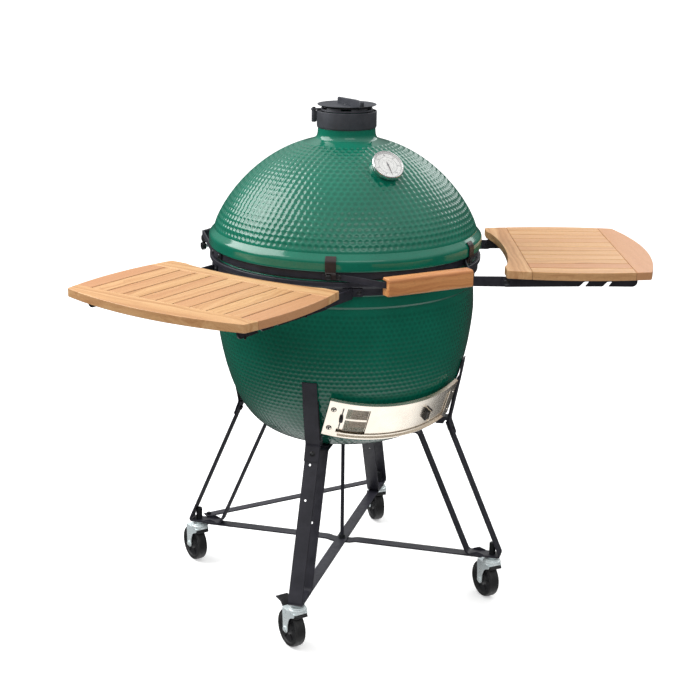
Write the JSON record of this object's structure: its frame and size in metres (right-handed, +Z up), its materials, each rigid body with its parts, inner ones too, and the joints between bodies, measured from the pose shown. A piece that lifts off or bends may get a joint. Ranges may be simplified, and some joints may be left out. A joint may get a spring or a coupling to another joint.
{
  "type": "kamado ceramic grill",
  "caption": "Egg-shaped glazed ceramic charcoal grill with hinged lid, chimney vent and draft door, on a wheeled steel stand with fold-down wooden side shelves.",
  "frame": {"origin": "on the floor, under the middle of the footprint; the ceramic body's vertical axis is at X 0, Y +0.0759", "axes": "+Z up, -Y towards the grill's front (handle, thermometer and draft door), +X to the right as seen from the front"},
  "size_m": [1.5512, 0.9818, 1.3255],
  "materials": {
    "green_glaze": "glossy dimpled glaze",
    "fired_clay": "matte unglazed ceramic",
    "black_coat": "satin powder coat",
    "cast_grey": "fine cast, dark grey coat",
    "stainless": "brushed",
    "cast_iron": "rough cast",
    "felt": "pressed felt",
    "shelf_wood": "oiled hardwood",
    "grip_wood": "oiled hardwood, darker",
    "zinc": "zinc plate",
    "rubber": "matte",
    "chrome_case": "polished, white dial inside",
    "needle_black": "satin",
    "lens_glass": "clear",
    "black_plastic": "moulded"
  },
  "bodies": {
    "stand_and_base": {"base_shell": "green_glaze", "fire_box": "fired_clay", "fire_ring": "fired_clay", "fire_grate": "cast_iron", "base_gasket": "felt", "lower_band": "black_coat", "base_hinge_bracket": "black_coat", "hinge_pin": "black_coat", "hinge_spring": "zinc", "draft_frame": "stainless", "leg_front_left": "black_coat", "leg_front_right": "black_coat", "leg_rear_right": "black_coat", "leg_rear_left": "black_coat", "clamp_front_left": "black_coat", "clamp_front_right": "black_coat", "clamp_rear_right": "black_coat", "clamp_rear_left": "black_coat", "lower_bar_upper": "black_coat", "lower_bar_lower": "black_coat", "rear_brace": "black_coat", "upper_cross": "black_coat", "centre_post": "black_coat", "shelf_bracket_left_front": "black_coat", "shelf_bracket_left_rear": "black_coat", "shelf_bracket_right_front": "black_coat", "shelf_bracket_right_rear": "black_coat"},
    "lid": {"dome_lid": "green_glaze", "lid_gasket": "felt", "upper_band": "black_coat", "lid_hinge_yoke": "black_coat", "handle_bar": "black_coat", "handle_grip": "grip_wood", "handle_clip_left": "black_coat", "handle_clip_right": "black_coat", "vent_collar": "cast_grey", "thermometer_case": "chrome_case", "thermometer_lens": "lens_glass"},
    "vent_plate": {"vent_plate": "cast_grey"},
    "vent_disc": {"vent_disc": "cast_grey"},
    "pointer": {"thermometer_pointer": "needle_black"},
    "cooking_grid": {"cooking_grid": "stainless"},
    "draft_screen": {"draft_screen": "stainless"},
    "draft_slider": {"draft_slider": "stainless", "draft_slider_handle": "black_plastic"},
    "shelf_left": {"shelf_left": "shelf_wood", "shelf_arm_left_front": "black_coat", "shelf_arm_left_rear": "black_coat"},
    "shelf_right": {"shelf_right": "shelf_wood", "shelf_arm_right_front": "black_coat", "shelf_arm_right_rear": "black_coat"},
    "caster_front_left": {"caster_fork_front_left": "zinc"},
    "wheel_front_left": {"caster_wheel_front_left": "rubber"},
    "caster_front_right": {"caster_fork_front_right": "zinc"},
    "wheel_front_right": {"caster_wheel_front_right": "rubber"},
    "caster_rear_right": {"caster_fork_rear_right": "zinc"},
    "wheel_rear_right": {"caster_wheel_rear_right": "rubber"},
    "caster_rear_left": {"caster_fork_rear_left": "zinc"},
    "wheel_rear_left": {"caster_wheel_rear_left": "rubber"},
    "brake_pedal": {"brake_pedal": "black_plastic"}
  },
  "joints": [
    {"name": "lid_hinge", "type": "hinge", "parent": "stand_and_base", "child": "lid", "pos_m": [0, 0.47792, 0.905], "axis": [-1, 0, 0], "range_deg": [0, 75]},
    {"name": "vent_plate_swing", "type": "hinge", "parent": "lid", "child": "vent_plate", "pos_m": [-0.0746, 0.1123, 1.294], "axis": [0, 0, 1], "range_deg": [0, 110]},
    {"name": "vent_disc_turn", "type": "hinge", "parent": "vent_plate", "child": "vent_disc", "pos_m": [0, 0.07592, 1.3055], "axis": [0, 0, 1], "range_deg": [0, 30]},
    {"name": "pointer_turn", "type": "hinge", "parent": "lid", "child": "pointer", "pos_m": [0, -0.13908, 1.1876], "axis": [0, 0.7071, -0.7071], "range_deg": [0, 300]},
    {"name": "cooking_grid_lift", "type": "slide", "parent": "stand_and_base", "child": "cooking_grid", "axis": [0, 0, 1], "range_m": [0, 0.05]},
    {"name": "draft_screen_slide", "type": "hinge", "parent": "stand_and_base", "child": "draft_screen", "pos_m": [0, 0.08177, 0.70401], "axis": [0, -0.4321, 0.9018], "range_deg": [0, 9]},
    {"name": "draft_slider_slide", "type": "hinge", "parent": "stand_and_base", "child": "draft_slider", "pos_m": [0, 0.08177, 0.70401], "axis": [0, -0.4321, 0.9018], "range_deg": [-9, 1]},
    {"name": "shelf_left_fold", "type": "hinge", "parent": "stand_and_base", "child": "shelf_left", "pos_m": [-0.34865, -0.10327, 0.903], "axis": [0.4571, -0.8894, 0], "range_deg": [0, 90]},
    {"name": "shelf_right_fold", "type": "hinge", "parent": "stand_and_base", "child": "shelf_right", "pos_m": [0.34865, -0.10327, 0.903], "axis": [0.4571, 0.8894, 0], "range_deg": [0, 90]},
    {"name": "caster_front_left_swivel", "type": "hinge", "parent": "stand_and_base", "child": "caster_front_left", "pos_m": [-0.28583, -0.22634, 0.14], "axis": [0, 0, 1], "continuous": true},
    {"name": "caster_front_left_spin", "type": "hinge", "parent": "caster_front_left", "child": "wheel_front_left", "pos_m": [-0.28778, -0.19841, 0.05], "axis": [-0.9976, -0.0698, 0], "continuous": true},
    {"name": "brake_pedal_press", "type": "hinge", "parent": "caster_front_left", "child": "brake_pedal", "pos_m": [-0.28895, -0.18175, 0.105], "axis": [-0.9976, -0.0698, 0], "range_deg": [0, 10]},
    {"name": "caster_front_right_swivel", "type": "hinge", "parent": "stand_and_base", "child": "caster_front_right", "pos_m": [0.30225, -0.20991, 0.14], "axis": [0, 0, 1], "continuous": true},
    {"name": "caster_front_right_spin", "type": "hinge", "parent": "caster_front_right", "child": "wheel_front_right", "pos_m": [0.30274, -0.18192, 0.05], "axis": [-0.9998, 0.0175, 0], "continuous": true},
    {"name": "caster_rear_right_swivel", "type": "hinge", "parent": "stand_and_base", "child": "caster_rear_right", "pos_m": [0.28583, 0.37817, 0.14], "axis": [0, 0, 1], "continuous": true},
    {"name": "caster_rear_right_spin", "type": "hinge", "parent": "caster_rear_right", "child": "wheel_rear_right", "pos_m": [0.29069, 0.40575, 0.05], "axis": [-0.9848, 0.1736, 0], "continuous": true},
    {"name": "caster_rear_left_swivel", "type": "hinge", "parent": "stand_and_base", "child": "caster_rear_left", "pos_m": [-0.30225, 0.36174, 0.14], "axis": [0, 0, 1], "continuous": true},
    {"name": "caster_rear_left_spin", "type": "hinge", "parent": "caster_rear_left", "child": "wheel_rear_left", "pos_m": [-0.30469, 0.38964, 0.05], "axis": [-0.9962, -0.0872, 0], "continuous": true}
  ]
}
